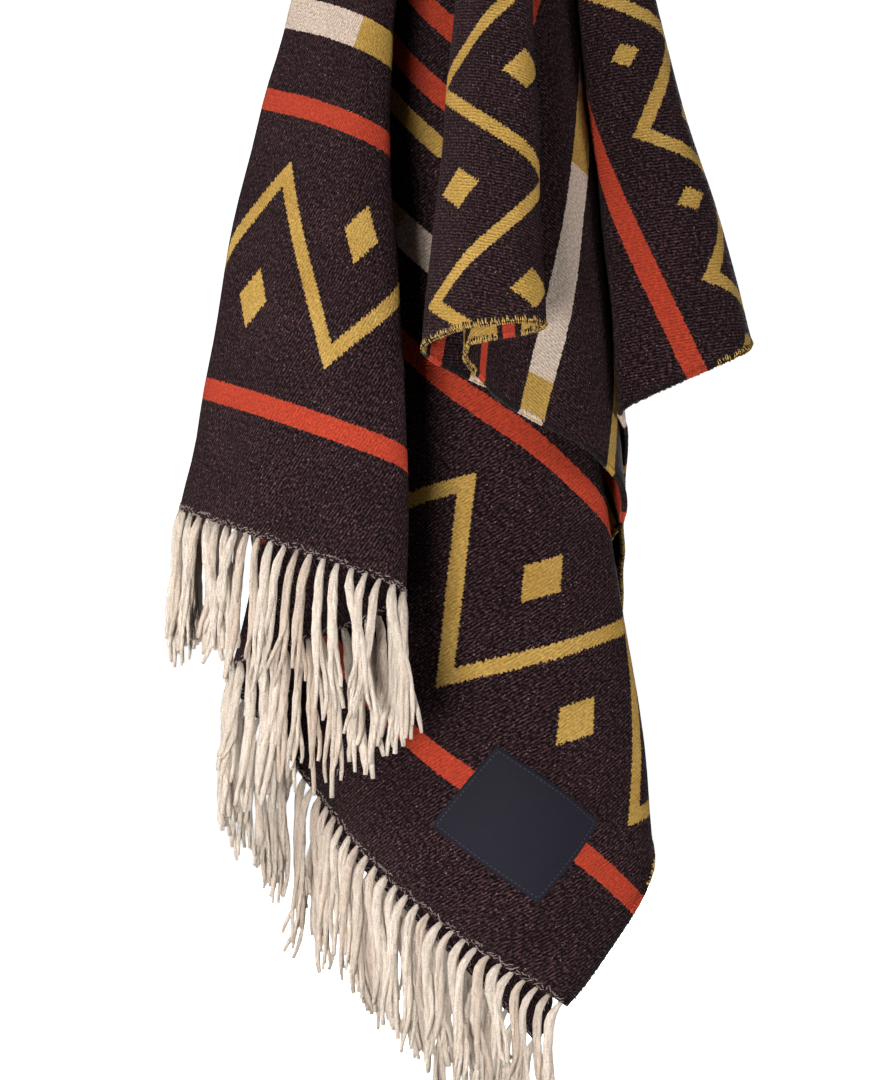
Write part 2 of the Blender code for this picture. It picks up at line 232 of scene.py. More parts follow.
# The looks of the yarns. A bump is its strength and its height in metres.
CLOTH_SPECULAR = 0.08
SHEEN_ROUGHNESS = 0.5
WOOL_BUMP = (0.9, 0.0010)
WOOL_ROUGHNESS = 0.95
WOOL_ROUGHNESSES = (0.86, 0.98)
WOOL_SHEEN = 0.03
WOOL_SHEEN_TINT = (0.62, 0.50, 0.50)
DARK_GROUND = (0.0136, 0.0058, 0.0068)
LIGHT_GROUND = (0.0200, 0.0086, 0.0100)
GROUND_HOLLOW = (0.08, 0.07, 0.07)
GROUND_CREST = (6.6, 7.3, 7.3)
DARK_LOOP = (0.010, 0.006, 0.007)
MUSTARD_DEEP = (0.43, 0.255, 0.055)
MUSTARD_PALE = (0.56, 0.355, 0.095)
ORANGE = (0.46, 0.052, 0.024)
CREAM = (0.66, 0.525, 0.43)
YARN_ROUGHNESS = 0.95
YARN_SHEEN = 0.25
YARN_SHEEN_TINT = (0.95, 0.9, 0.84)
YARN_BUMP = (1.0, 0.0014)
YARN_RANGE = (0.32, 0.68)
TINT_RANGE = (0.0, 0.6)
PLY_RANGE = (0.0, 0.7)
PLY_LEVELS = (0.94, 1.03)
# Painted shade: a strand is darkest at its root and reaches its full colour this far along it
PAINTED_ROOT_SHADE_REACH = (0.0, 0.010)
PAINTED_ROOT_SHADE_LEVELS = (0.82, 1.0)
FRINGE_DEEP = (0.54, 0.415, 0.325)
TAN_SHADE = (0.85, 0.785, 0.735)
PALE_SHADE = (1.03, 1.03, 1.02)
FRINGE_PALE = (0.96, 0.87, 0.77)
ROOT_DEEP = (0.20, 0.145, 0.145)
ROOT_PALE = (0.43, 0.345, 0.335)
FIBRE_SCALE = 620.0
FIBRE_DRAW = 0.22
YARN_FUZZ_SCALE = 1000.0
THREAD_FIBRE_SCALE = 1500.0
THREAD_SHEEN = 0.10
THREAD_SHEEN_TINT = (0.8, 0.7, 0.6)
THREAD_BUMP = (0.5, 0.0004)
THREAD_RANGE = (0.3, 0.7)
THREAD_LEVELS = (0.65, 1.3)
EDGE_ROUGHNESS = 0.85
LABEL_THREAD_ROUGHNESS = 0.6
LABEL_DEEP = (0.0058, 0.0054, 0.0095)
LABEL_PALE = (0.0165, 0.0155, 0.0245)
LABEL_THREAD = (0.045, 0.045, 0.065)
LABEL_SHEEN = 0.1
LABEL_SHEEN_TINT = (0.5, 0.5, 0.6)
LABEL_BUMP = (0.35, 0.0003)
LABEL_ROUGHNESS = 0.62
LABEL_ROUGHNESSES = (0.52, 0.72)
SATIN_PITCH = 0.0007
SATIN_CROSS_PITCH = 0.0010
SATIN_SHARE = 0.3
SATIN_CROSS_SHARE = 0.2
SATIN_FUZZ_SCALE = 900.0
FLECK = (0.34, 0.27, 0.26)
FLECK_SCALE = 760.0
FLECK_RANGE = (0.770, 0.82)
FLECK_SHARE = 0.75

# The studio
FLOOR_HEIGHT = -1.335
STAGE_REACH = 30.0
STAGE_SIDES = 48
WALL_GLOW = 1.0
FLOOR_GLOW = 0.95
WHITE = (1.0, 1.0, 1.0, 1.0)
STAGE_WHITE = (0.93, 0.93, 0.93)
STAGE_ROUGHNESS = 0.9
WORLD_STRENGTH = 0.11
Lamp = namedtuple("Lamp", "name place target size power colour")
LAMPS = (
    Lamp("key", (-0.45, -1.8, -1.15), (-0.04, 0.0, -1.00), 0.4, 37.0, (1.0, 0.985, 0.965)),
    Lamp("left", (-2.7, -1.0, -0.7), (-0.02, 0.0, -0.90), 1.2, 62.0, (1.0, 0.99, 0.98)),
    Lamp("right", (2.6, -1.0, -1.1), (0.04, 0.0, -0.95), 1.0, 36.0, (0.985, 0.99, 1.0)),
    Lamp("back", (0.9, 3.0, -0.4), (0.0, 0.1, -0.8), 1.6, 95.0, (1.0, 0.995, 0.985)),
)
SENSOR = 36.0
CAMERA_DISTANCE = 3.0
CAMERA_PLANE = 0.06
CAMERA_RIGHT = -0.025
CAMERA_HEIGHT = -0.879
VIEW_HEIGHT = 0.6836
CLIP_END = 100.0

# One row a fold. angle: degrees on the flat throw, from the line that meets the front
# fringe squarely. right and back: how far that line runs right and back for each metre
# of cloth. lean: how much further right it starts, above the view's middle, if it does.
Fold = namedtuple("Fold", "angle right back lean", defaults=(0.0,))
FOLDS = (
    # Front left panel
    Fold(3.0, -0.223, -0.030),
    Fold(6.0, -0.223, -0.075),
    Fold(10.5, -0.172, -0.128),
    Fold(14.4, -0.106, -0.150, -0.020),
    Fold(17.3, -0.050, -0.146, -0.045),
    # Second layer, which turns back behind it
    Fold(18.8, -0.056, -0.120, -0.045),
    Fold(25.0, -0.164, -0.040),
    Fold(26.6, -0.166, -0.014),
    # Long panel with the low corner and the label
    Fold(31.7, -0.117, 0.036),
    Fold(35.7, -0.071, -0.012),
    Fold(38.2, -0.032, -0.030),
    Fold(40.2, 0.0115, -0.037),
    Fold(41.7, 0.050, -0.034, -0.010),
    Fold(44.9, 0.099, -0.008, -0.016),
    # Its back, and the way round its right edge to the front
    Fold(46.4, 0.100, 0.015, -0.016),
    Fold(51.5, 0.020, 0.034),
    Fold(56.0, -0.048, 0.058),
    Fold(57.5, -0.048, 0.080),
    Fold(64.0, 0.070, 0.044),
    Fold(65.8, 0.100, 0.024),
    Fold(67.4, 0.100, -0.016),
    Fold(72.5, 0.040, -0.078),
    # Middle ridge, nearest the viewer
    Fold(79.6, -0.052, -0.145, 0.026),
    Fold(81.2, -0.055, -0.172, 0.026),
    Fold(85.0, -0.018, -0.206, 0.020),
    Fold(88.4, 0.034, -0.210, 0.012),
    Fold(90.4, 0.050, -0.192, 0.010),
    Fold(92.2, 0.040, -0.172, 0.008),
    Fold(98.0, -0.018, -0.172, 0.014),
    # Narrow panel to the right of the ridge
    Fold(100.8, -0.020, -0.148, 0.014),
    Fold(106.5, 0.006, -0.128, 0.006),
    Fold(109.0, 0.034, -0.108),
    Fold(112.0, 0.078, -0.074),
    Fold(114.2, 0.096, -0.046),
    Fold(115.8, 0.107, -0.020, 0.004),
    Fold(118.6, 0.107, 0.030, 0.004),
    Fold(121.0, 0.084, 0.068),
    # Folds that only show from below
    Fold(130.0, -0.070, 0.098),
    Fold(131.5, -0.070, 0.118),
    Fold(138.4, 0.038, 0.120),
    Fold(139.4, 0.044, 0.136),
    Fold(142.4, 0.004, 0.138),
    Fold(150.8, -0.103, 0.141),
    Fold(152.4, -0.103, 0.161),
    Fold(171.0, 0.080, 0.146),
    Fold(172.5, 0.080, 0.166),
    Fold(184.0, -0.085, 0.174),
    Fold(185.5, -0.085, 0.194),
    Fold(197.0, 0.078, 0.186),
    Fold(198.5, 0.078, 0.206),
    Fold(210.0, -0.062, 0.214),
    Fold(211.5, -0.062, 0.234),
    Fold(219.0, 0.006, 0.230),
    Fold(232.0, 0.096, 0.222),
    Fold(246.3, 0.114, 0.060, 0.008),
    Fold(250.6, 0.113, -0.012, 0.008),
    # Right panel
    Fold(252.4, 0.106, -0.042, 0.006),
    Fold(255.5, 0.164, -0.056, -0.010),
    Fold(258.6, 0.220, -0.034, -0.022),
    Fold(260.6, 0.228, 0.004, -0.022),
    # Right side and back, in broad flutes
    Fold(266.0, 0.216, 0.082, -0.018),
    Fold(268.0, 0.196, 0.086, -0.012),
    Fold(272.5, 0.158, 0.036),
    Fold(274.5, 0.140, 0.056),
    Fold(281.0, 0.192, 0.132),
    Fold(283.0, 0.178, 0.154),
    Fold(287.0, 0.128, 0.134),
    Fold(289.0, 0.116, 0.162),
    Fold(295.0, 0.100, 0.258),
    Fold(298.0, 0.088, 0.300),
    Fold(300.0, 0.069, 0.302),
    Fold(304.0, 0.060, 0.254),
    Fold(306.5, 0.040, 0.256),
    Fold(311.0, 0.039, 0.322),
    Fold(313.5, 0.015, 0.326),
    Fold(318.6, 0.010, 0.270),
    Fold(321.8, -0.019, 0.270),
    Fold(326.6, -0.034, 0.322),
    Fold(329.8, -0.064, 0.312),
    Fold(334.6, -0.080, 0.250),
    Fold(338.4, -0.112, 0.240),
    Fold(343.0, -0.146, 0.276),
    Fold(346.0, -0.172, 0.250),
    Fold(350.0, -0.132, 0.186),
    Fold(352.0, -0.146, 0.160),
    Fold(356.0, -0.206, 0.148),
    Fold(358.0, -0.222, 0.110),
)


def unit(vectors):
    """Vectors made one long."""
    return vectors / np.maximum(np.linalg.norm(vectors, axis=-1, keepdims=True), TINY)


def smooth_step(share):
    """A soft rise from 0 to 1, for numbers or arrays."""
    share = np.clip(share, 0.0, 1.0)
    return share * share * (3.0 - 2.0 * share)


def fold_column(name):
    """One column of the fold table, run over three turns so that it can be read anywhere."""
    values = np.array([getattr(fold, name) for fold in FOLDS])
    if name == "angle":
        return np.concatenate([values - FULL_TURN, values, values + FULL_TURN])
    return np.tile(values, 3)


FOLD_ANGLES = fold_column("angle")


def soft_read(name, angles):
    """A column of the fold table at many angles, with its folds softened."""
    values = fold_column(name)
    total = np.zeros_like(angles)
    weight_sum = 0.0
    for offset in np.linspace(-1.0, 1.0, SOFTNESS_SAMPLES):
        weight = 1.0 - CENTRE_WEIGHT * abs(offset)
        total += weight * np.interp(angles + offset * FOLD_SOFTNESS, FOLD_ANGLES, values)
        weight_sum += weight
    return total / weight_sum


def half_width(across):
    """Half of the throw's width, at some distance towards either fringe."""
    return HALF_WIDTH + EDGE_BOW * (across / FRONT_FRINGE_DISTANCE) ** 2


def edge_distance(angles):
    """Distance on the flat throw from the held point to the cut edge."""
    sine = np.abs(np.sin(np.radians(angles)))
    cosine = np.cos(np.radians(angles))
    fringe = np.where(cosine > 0.0, FRONT_FRINGE_DISTANCE, BACK_FRINGE_DISTANCE)
    reach = fringe / np.maximum(np.abs(cosine), TINY)
    side = HALF_WIDTH / np.maximum(sine, SIDE_EDGE_SINE)
    for _ in range(EDGE_PASSES):
        side = half_width(side * cosine) / np.maximum(sine, SIDE_EDGE_SINE)
    return np.where(sine > SIDE_EDGE_SINE, np.minimum(reach, side), reach)


def spread(distances):
    """The width that the folds scale with: the distance, but never less than the top's."""
    return (distances ** 4 + TOP_HALF_SPREAD ** 4) ** 0.25


def middle_point(angles, distances):
    """The cloth's middle surface, before its small waves."""
    reach = edge_distance(angles)
    leaning = smooth_step((reach - distances) / (reach - LEAN_DISTANCE))
    right = soft_read("right", angles) + leaning * soft_read("lean", angles)
    back = soft_read("back", angles)
    wide = spread(distances)
    drop = distances * np.sqrt(1.0 - right * right - back * back)
    return np.stack([right * wide, back * wide, -drop], axis=-1)


def drift(points):
    """A slow, small bend of space, so that no fold is ruler-straight. Every piece takes it."""
    moved = points.copy()
    for wave in DRIFT_WAVES:
        phase = points @ np.array(wave.direction) * (math.tau / wave.length) + wave.phase
        moved += np.outer(np.sin(phase), wave.push)
    return moved


def ripple(along, across):
    """Small waves off the cloth, by place on the flat throw."""
    height = np.zeros_like(along)
    for wave in RIPPLES:
        run = along * math.cos(wave.turn) + across * math.sin(wave.turn)
        bend = RIPPLE_BEND * np.sin(math.tau * (across + along) / RIPPLE_BEND_LENGTH)
        height += wave.height * np.sin(math.tau * (run + bend) / wave.length + wave.phase)
    return height * smooth_step(np.hypot(along, across) / RIPPLE_START)


def flat_to_polar(along, across):
    """Angle in degrees and distance of a place on the flat throw."""
    return np.degrees(np.arctan2(along, across)) % FULL_TURN, np.hypot(along, across)


def cloth_frame(along, across):
    """Middle, outward normal and the two ways along the cloth, at places on the flat throw."""
    def at(shift_along, shift_across):
        return middle_point(*flat_to_polar(along + shift_along, across + shift_across))
    middle = at(0.0, 0.0)
    way_along = (at(PROBE, 0.0) - at(-PROBE, 0.0)) / (2.0 * PROBE)
    way_across = (at(0.0, PROBE) - at(0.0, -PROBE)) / (2.0 * PROBE)
    return middle, unit(np.cross(way_across, way_along)), way_along, way_across


def half_thickness(distances):
    """Half of the cloth's thickness, drawn in where the folds crowd at the top."""
    return 0.5 * np.minimum(CLOTH_THICKNESS, THICKNESS_SHARE * spread(distances))


def column_angles():
    """The sheet's columns: even steps, with the throw's four corners put in."""
    corners = []
    for fringe, base in ((FRONT_FRINGE_DISTANCE, 0.0), (BACK_FRINGE_DISTANCE, 0.5 * FULL_TURN)):
        turn = math.degrees(math.atan2(half_width(fringe), fringe))
        corners += [(base + turn) % FULL_TURN, (base - turn) % FULL_TURN]
    angles = np.arange(0.0, FULL_TURN, COLUMN_STEP)
    for corner in corners:
        angles[np.argmin(np.abs(angles - corner))] = corner
    return np.sort(angles)


def placed(name, data):
    """A new object in the scene."""
    made = bpy.data.objects.new(name, data)
    bpy.context.scene.collection.objects.link(made)
    return made


def add_mesh(name, points, faces, values, finish):
    """A finished mesh in the scene. values is one row a point: attribute name to vectors."""
    mesh = bpy.data.meshes.new(name)
    mesh.from_pydata(points.tolist(), [], faces)
    for key, rows in values.items():
        layer = mesh.attributes.new(key, "FLOAT_VECTOR", "POINT")
        layer.data.foreach_set("vector", np.asarray(rows, dtype=np.float32).ravel())
    mesh.shade_smooth()
    mesh.materials.append(finish)
    piece = placed(name, mesh)
    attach(piece, "root")
    return piece


def build_sheet(finish):
    """The whole throw: outer and inner face, the cut edge all round and the gathered top."""
    angles = column_angles()
    count = len(angles)
    reach = edge_distance(angles)
    lower = np.linspace(0.0, 1.0, LOWER_COUNT + 1)[1:]
    upper = np.array(UPPER_LEVELS)
    distances = np.concatenate([
        np.repeat(upper[None, :], count, axis=0),
        upper[-1] + (reach[:, None] - upper[-1]) * lower[None, :],
    ], axis=1)
    levels = distances.shape[1]
    flat = distances.ravel()
    turned = np.repeat(angles, levels)
    along = flat * np.sin(np.radians(turned))
    across = flat * np.cos(np.radians(turned))
    grid = drift(middle_point(turned, flat)).reshape(count, levels, 3)
    around = np.roll(grid, -1, axis=0) - np.roll(grid, 1, axis=0)
    down = np.gradient(grid, axis=1)
    normal = unit(np.cross(down, around))
    wave = ripple(along, across).reshape(count, levels, 1)
    thick = half_thickness(distances)[:, :, None]
    outer = grid + normal * (wave + thick)
    inner = grid + normal * (wave - thick)
    outer[:, 0, 2] = 0.0
    inner[:, 0, 2] = -CLOTH_THICKNESS
    points = np.concatenate([outer.reshape(-1, 3), inner.reshape(-1, 3)])
    face_side = np.concatenate([np.ones(count * levels), -np.ones(count * levels)])
    values = np.stack([np.tile(along, 2), np.tile(across, 2), face_side], axis=-1)
    inner_start = count * levels
    faces = []
    for column in range(count):
        after = (column + 1) % count
        for level in range(levels - 1):
            here = column * levels + level
            there = after * levels + level
            faces.append((here, here + 1, there + 1, there))
            faces.append((inner_start + here, inner_start + there,
                          inner_start + there + 1, inner_start + here + 1))
        low_here = column * levels + levels - 1
        low_there = after * levels + levels - 1
        faces.append((low_here, inner_start + low_here, inner_start + low_there, low_there))
    for start, flip in ((0, False), (inner_start, True)):
        ring = [start + column * levels for column in range(count)]
        for corners in tessellate_polygon([[points[place].tolist() for place in ring]]):
            face = [ring[corner] for corner in corners]
            faces.append(tuple(reversed(face)) if flip else tuple(face))
    piece = add_mesh("throw_sheet", points, faces, {"flat": values}, finish)
    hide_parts("throw_cloth")
    return piece


def tube(path, radii, sides, first, points, faces, hint):
    """Adds one closed tube along a path to the lists of points and faces."""
    start = len(points)
    path = np.asarray(path)
    tangent = unit(np.gradient(path, axis=0))
    side = unit(hint - tangent * (tangent @ hint)[:, None])
    other = np.cross(tangent, side)
    for ring in range(len(path)):
        for corner in range(sides):
            turn = math.tau * corner / sides + first
            outward = math.cos(turn) * side[ring] + math.sin(turn) * other[ring]
            points.append(path[ring] + radii[ring] * outward)
    for ring in range(len(path) - 1):
        for corner in range(sides):
            after = (corner + 1) % sides
            low = start + ring * sides
            faces.append((low + corner, low + after, low + sides + after, low + sides + corner))
    faces.append(tuple(start + corner for corner in range(sides))[::-1])
    last = start + (len(path) - 1) * sides
    faces.append(tuple(last + corner for corner in range(sides)))


def edge_places(distance, sign):
    """Places along one fringed edge, evenly spaced on the folded cloth."""
    fine = np.linspace(-1.0, 1.0, FINE_PLACES) * (half_width(distance) - FIRST_BUNCH)
    line = middle_point(*flat_to_polar(fine, np.full_like(fine, sign * distance)))
    run = np.concatenate([[0.0], np.cumsum(np.linalg.norm(np.diff(line, axis=0), axis=1))])
    count = int(run[-1] / BUNCH_PITCH)
    return np.interp(np.linspace(0.0, run[-1], count), run, fine)


def strand_path(out, level, facing, length, chance, clump):
    """The middle line of one strand: squarely off the edge, then down, with a soft lean."""
    steps = np.linspace(0.0, 1.0, PLY_RINGS)
    sway = clump + chance.gauss(0.0, SWAY)
    if chance.random() < STRAY_SHARE:
        sway = chance.choice((-1.0, 1.0)) * chance.uniform(STRAY_LOW, STRAY_HIGH)
    lift = chance.gauss(0.0, LIFT)
    turn_down = smooth_step(steps * length / (KNEE * chance.uniform(*KNEE_SWING)))[:, None]
    heading = unit(out * (1.0 - turn_down) + DOWN * turn_down)
    path = np.zeros((PLY_RINGS, 3))
    gaps = np.diff(steps)[:, None] * length
    path[1:] = np.cumsum(0.5 * (heading[1:] + heading[:-1]) * gaps, axis=0)
    path += np.outer(sway * steps ** SWAY_POWER, level) + np.outer(lift * steps, facing)
    start = chance.uniform(0.0, math.tau)
    wave = np.sin(steps * chance.uniform(*WOBBLE_TURNS) + start) - math.sin(start)
    return steps, path + np.outer(WOBBLE * wave * steps, level)


def add_plies(path, steps, whole, level, facing, thick, plies, tint, chance, mesh):
    """The plies of one strand, wound round its middle line and parted lower down."""
    points, faces, values = mesh
    twist = chance.uniform(0.0, math.tau)
    apart = chance.uniform(*PLY_OFFSETS)
    swell = 1.0 + SWELL * np.sin(math.pi * steps)
    from_root = smooth_step(steps / ROOT_SHARE)
    parted = smooth_step((steps - FORK_START) / (1.0 - FORK_START))
    tapered = smooth_step((steps - TAPER_START) / (1.0 - TAPER_START))
    for ply in range(plies):
        turn = twist + math.tau * ply / plies + PLY_TURN * steps
        open_out = apart * (ROOT_CLOSE + (1.0 - ROOT_CLOSE) * from_root)
        open_out = open_out + chance.uniform(*FORKS) * parted
        shift = (np.outer(np.cos(turn) * open_out, level)
                 + np.outer(np.sin(turn) * open_out * FLATTEN, facing))
        shift[:, 2] -= steps ** 2 * chance.uniform(-TIP_SPREAD, TIP_SPREAD)
        radii = thick * swell * (ROOT_NECK + (1.0 - ROOT_NECK) * from_root)
        radii = radii * (1.0 - chance.uniform(*TAPERS) * tapered)
        radii = radii * np.array([chance.uniform(*BUMPS) for _ in steps])
        radii[-1] *= TIP_SHARE
        start = len(points)
        tube(path + shift, radii, PLY_SIDES, turn[0], points, faces, facing)
        for spot in range(start, len(points)):
            ring = (spot - start) // PLY_SIDES
            points[spot] = points[spot] + (points[spot] - path[ring] - shift[ring]) * (
                chance.uniform(*BUMPS) - 1.0)
        made = len(points) - start
        rings = np.repeat(steps * whole, PLY_SIDES)
        values.append(np.stack([rings, np.full(made, ply / plies), np.full(made, tint)], axis=-1))


def add_hairs(path, steps, whole, level, facing, thick, tint, chance, mesh):
    """Loose fibres that stand off one strand."""
    points, faces, values = mesh
    for _ in range(HAIRS):
        ring = chance.randrange(1, PLY_RINGS - 1)
        turn = chance.uniform(0.0, math.tau)
        side = math.cos(turn) * level + math.sin(turn) * facing
        foot = path[ring] + side * (PLY_OFFSETS[0] + HAIR_FOOT * thick)
        tip = foot + side * chance.uniform(*HAIR_RISE) + DOWN * chance.uniform(*HAIR_DROP)
        start = len(points)
        tube([foot, tip], (HAIR_RADIUS, HAIR_RADIUS), HAIR_SIDES, turn, points, faces, facing)
        values.append(np.tile([steps[ring] * whole, HAIR_SHADE, tint], (len(points) - start, 1)))


def build_tassels(name, node, distance, sign, seed, finish):
    """The fringe of one edge: thick soft strands whose plies part into tails lower down."""
    chance = random.Random(seed)
    along = edge_places(distance, sign)
    mesh = ([], [], [])
    across = np.full_like(along, sign * distance)
    middle, normal, way_along, way_across = cloth_frame(along, across)
    out = unit(way_across * sign)
    for place in range(len(along)):
        level = unit(way_along[place] * LEVEL)
        facing = normal[place]
        clump = sum(wave.push * math.sin(math.tau * along[place] / wave.length + wave.phase)
                    for wave in CLUMPS)
        whole = BUNCH_LENGTH * (1.0 + chance.uniform(-LENGTH_SWING, LENGTH_SWING))
        steps, path = strand_path(out[place], level, facing, whole, chance, clump)
        path = path + middle[place] - out[place] * ROOT_DEPTH
        tint = chance.random()
        thick = chance.uniform(*PLY_SIZES)
        add_plies(path, steps, whole, level, facing, thick, chance.choice(PLY_COUNTS), tint,
                  chance, mesh)
        add_hairs(path, steps, whole, level, facing, thick, tint, chance, mesh)
    points, faces, values = mesh
    piece = add_mesh(name, drift(np.array(points)), faces, {"strand": np.concatenate(values)},
                     finish)
    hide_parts(node)
    return piece


def build_root_stitches(finish):
    """Short loose pale stitches along both fringed edges, on both faces of the cloth."""
    points, faces, values = [], [], []
    chance = random.Random(STITCH_SEED)
    for distance, sign in ((FRONT_FRINGE_DISTANCE, 1.0), (BACK_FRINGE_DISTANCE, -1.0)):
        span = half_width(distance) - FIRST_BUNCH
        along = np.arange(-span, span, ROOT_PITCH)
        inset = np.array([chance.uniform(*ROOT_INSETS) for _ in along])
        across = sign * (distance - inset)
        middle, normal, way_along, way_across = cloth_frame(along, across)
        lift = ripple(along, across)[:, None] * normal
        for place in range(len(along)):
            turn = chance.uniform(-ROOT_TURN, ROOT_TURN)
            way = math.cos(turn) * way_along[place] + math.sin(turn) * way_across[place]
            reach = 0.5 * chance.uniform(*ROOT_LENGTHS)
            for face in (1.0, -1.0):
                outward = normal[place] * face
                base = middle[place] + lift[place] + outward * (0.5 * CLOTH_THICKNESS)
                sunk = outward * ROOT_RADIUS
                proud = sunk * ROOT_PROUD
                path = [base - way * reach - sunk, base - way * reach * ROOT_KNEE + proud,
                        base + way * reach * ROOT_KNEE + proud, base + way * reach - sunk]
                start = len(points)
                size = ROOT_RADIUS * chance.uniform(*ROOT_SIZES)
                tube(path, (size,) * len(path), THREAD_SIDES, THREAD_TURN, points, faces,
                     normal[place])
                values.append(np.tile([ROOT_RUN, chance.random(), chance.random()],
                                      (len(points) - start, 1)))
    return add_mesh("root_stitches", drift(np.array(points)), faces,
                    {"strand": np.concatenate(values)}, finish)


def edge_dye(across, turn, chance):
    """The colour of one edge loop: it follows the stripe or band that it closes."""
    def near(rows):
        return any(abs(across - row[0]) < row[1] for row in rows)
    if near(ORANGE_STRIPES):
        return ORANGE
    if near(CREAM_STRIPES):
        return CREAM
    if near(MUSTARD_STRIPES):
        return MUSTARD_DEEP
    pale = turn % 2 and near([(band.middle, band.half) for band in BANDS])
    if pale and chance.random() < PALE_LOOPS:
        return MUSTARD_PALE
    return DARK_LOOP


def build_edge_loops(finish):
    """The yarns that turn back over the two side edges, slanted and uneven."""
    points, faces, values = [], [], []
    chance = random.Random(LOOP_SEED)
    for sign in (1.0, -1.0):
        across = np.arange(-BACK_FRINGE_DISTANCE + FIRST_BUNCH,
                           FRONT_FRINGE_DISTANCE - FIRST_BUNCH, LOOP_PITCH)
        along = sign * half_width(across)
        middle, normal, way_along, run = cloth_frame(along, across)
        inward = -way_along * sign
        lift = ripple(along, across)[:, None] * normal
        for place in range(len(along)):
            base = middle[place] + lift[place]
            reach = LOOP_REACH * chance.uniform(*LOOP_REACHES)
            slant = run[place] * chance.gauss(LOOP_SLANT, LOOP_SLANT_SWING)
            back_slant = run[place] * chance.gauss(LOOP_SLANT, LOOP_SLANT_SWING)
            proud = chance.uniform(*LOOP_PROUD)
            rise = normal[place] * (0.5 * CLOTH_THICKNESS + LOOP_RADIUS * LOOP_LIFT)
            end = base + inward[place] * reach
            knee = base + inward[place] * reach * LOOP_KNEE
            path = [end + rise * LOOP_END_RISE + slant,
                    knee + rise * LOOP_KNEE_RISE + slant * LOOP_KNEE,
                    base - inward[place] * proud,
                    knee - rise * LOOP_KNEE_RISE - back_slant * LOOP_KNEE,
                    end - rise * LOOP_END_RISE - back_slant]
            start = len(points)
            size = LOOP_RADIUS * chance.uniform(*LOOP_SIZES)
            tube(path, (size,) * len(path), THREAD_SIDES, THREAD_TURN, points, faces, run[place])
            dye = edge_dye(across[place], place, chance)
            values.append(np.tile(dye, (len(points) - start, 1)))
    return add_mesh("edge_loops", drift(np.array(points)), faces,
                    {"dye": np.concatenate(values)}, finish)


def label_place(run, rise):
    """A place on the label, from -0.5 to 0.5 each way, on the flat throw's axes."""
    along = LABEL_ALONG + LABEL_LENGTH * run + LABEL_SLIP_ALONG * rise
    return along, LABEL_ACROSS + LABEL_HEIGHT * rise + LABEL_SLIP_ACROSS * run


def build_label(finish):
    """The blank rectangle sewn on the low corner, with its turned-in border."""
    run, rise = (steps.ravel() for steps in np.meshgrid(
        np.linspace(-0.5, 0.5, LABEL_COLUMNS), np.linspace(-0.5, 0.5, LABEL_ROWS),
        indexing="ij"))
    along, across = label_place(run, rise)
    middle, normal, _, _ = cloth_frame(along, across)
    from_edge = np.minimum(LABEL_LENGTH * (0.5 - np.abs(run)),
                           LABEL_HEIGHT * (0.5 - np.abs(rise)))
    seam = np.exp(-((from_edge - LABEL_SEAM) / LABEL_SEAM_WIDTH) ** 2)
    puff = LABEL_PUFF * smooth_step((from_edge - LABEL_SEAM) / LABEL_PUFF_REACH)
    base = 0.5 * CLOTH_THICKNESS + ripple(along, across)
    top = base + LABEL_THICKNESS + puff - LABEL_SEAM_DEPTH * seam
    points = np.concatenate([middle + normal * top[:, None],
                             middle + normal * (base - LABEL_SINK)[:, None]])
    count, under = LABEL_ROWS, len(along)
    faces = []
    for column in range(LABEL_COLUMNS - 1):
        for row in range(LABEL_ROWS - 1):
            here = column * count + row
            faces.append((here, here + 1, here + 1 + count, here + count))
            faces.append((under + here, under + here + count, under + here + 1 + count,
                          under + here + 1))
    border = list(range(count))
    border += [column * count + count - 1 for column in range(1, LABEL_COLUMNS)]
    border += [(LABEL_COLUMNS - 1) * count + row for row in range(count - 2, -1, -1)]
    border += [column * count for column in range(LABEL_COLUMNS - 2, 0, -1)]
    for place, here in enumerate(border):
        there = border[(place + 1) % len(border)]
        faces.append((here, under + here, under + there, there))
    values = np.stack([along, across, from_edge], axis=-1)
    values = np.concatenate([values, values])
    piece = add_mesh("label_patch", drift(points), faces, {"flat": values}, finish)
    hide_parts("sewn_label")
    return piece


